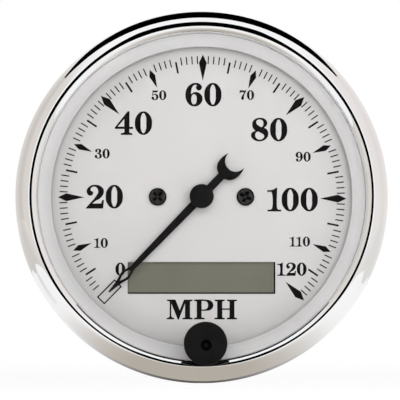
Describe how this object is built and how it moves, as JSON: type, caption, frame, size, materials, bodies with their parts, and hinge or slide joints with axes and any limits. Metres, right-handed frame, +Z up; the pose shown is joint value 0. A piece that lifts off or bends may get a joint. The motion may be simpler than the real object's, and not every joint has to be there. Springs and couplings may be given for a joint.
{
  "type": "dashboard speedometer",
  "caption": "Round in-dash speedometer with chrome bezel, flat glass, printed dial, sweeping pointer, display window, push reset knob and a steel case with rear studs and terminals.",
  "frame": {"origin": "on the dial's axis, in the plane of the panel face that the bezel seats on", "axes": "+Y along the barrel, back into the dash; the dial faces -Y; +Z up the dial; +X to its right"},
  "size_m": [0.0856, 0.088, 0.0856],
  "materials": {
    "chrome": "polished chrome plate",
    "lens_glass": "clear flat glass",
    "seal_rubber": "matt black rubber",
    "ring_grey": "satin pale grey moulding",
    "dial_silver": "satin silver white paint with black print",
    "screw_black": "blackened steel",
    "pointer_black": "satin black paint",
    "hub_black": "satin black plastic",
    "steel": "bright steel",
    "magnet_grey": "dark sintered magnet",
    "brass": "plain brass",
    "plate_alloy": "plain aluminium",
    "former_ivory": "ivory moulding",
    "copper_winding": "enamelled copper wire",
    "lcd_glass": "grey green display glass",
    "white_plastic": "white moulding",
    "strip_rubber": "striped contact rubber",
    "board_green": "green lacquered board",
    "chip_black": "black moulded package",
    "cap_blue": "blue sleeve",
    "plunger_red": "red moulding",
    "knob_black": "satin black moulding",
    "case_zinc": "zinc plated drawn steel",
    "socket_black": "black moulding",
    "bulb_glass": "clear bulb glass",
    "zinc_steel": "zinc plated steel"
  },
  "bodies": {
    "housing": {"bezel": "chrome", "lens": "lens_glass", "lens_gasket": "seal_rubber", "reflector_ring": "ring_grey", "dial_plate": "dial_silver", "dial_screws": "screw_black", "front_bearing": "brass", "rear_bearing": "brass", "movement_plate": "plate_alloy", "bobbin_front": "former_ivory", "bobbin_rear": "former_ivory", "sine_coil": "copper_winding", "cosine_coil": "copper_winding", "shield_can": "steel", "movement_screws": "steel", "movement_pins": "brass", "lcd_panel": "lcd_glass", "lcd_diffuser": "white_plastic", "lcd_holder": "white_plastic", "contact_strips": "strip_rubber", "lcd_board": "board_green", "lcd_screws": "steel", "link_pins": "brass", "main_board": "board_green", "board_screws": "steel", "microcontroller": "chip_black", "voltage_regulator": "chip_black", "capacitors": "cap_blue", "crystal": "steel", "trip_switch": "chip_black", "guide_bush": "white_plastic", "lens_grommet": "seal_rubber", "light_shroud": "white_plastic", "case": "case_zinc", "terminal_block": "socket_black", "blade_terminals": "brass", "mounting_studs": "zinc_steel", "stud_washers": "zinc_steel", "stud_nuts": "zinc_steel"},
    "pointer": {"pointer_blade": "pointer_black", "pointer_hub": "hub_black", "pointer_shaft": "steel", "rotor_magnet": "magnet_grey"},
    "reset_button": {"reset_knob": "knob_black", "reset_rod": "steel", "reset_spring": "steel", "switch_plunger": "plunger_red"},
    "lamp_holder": {"lamp_socket": "socket_black", "lamp_bulb": "bulb_glass", "lamp_contacts": "brass"}
  },
  "joints": [
    {"name": "pointer_sweep", "type": "hinge", "parent": "housing", "child": "pointer", "pos_m": [0, 0, 0], "axis": [0, 1, 0], "range_deg": [0, 271]},
    {"name": "reset_push", "type": "slide", "parent": "housing", "child": "reset_button", "axis": [0, 1, 0], "range_m": [0, 0.0015], "stiffness_N_per_m": 800, "springref_m": -0.001, "deforming": ["reset_spring"]},
    {"name": "lamp_twist", "type": "hinge", "parent": "housing", "child": "lamp_holder", "pos_m": [0, 0.05, 0.024], "axis": [0, 1, 0], "range_deg": [0, 60]}
  ]
}
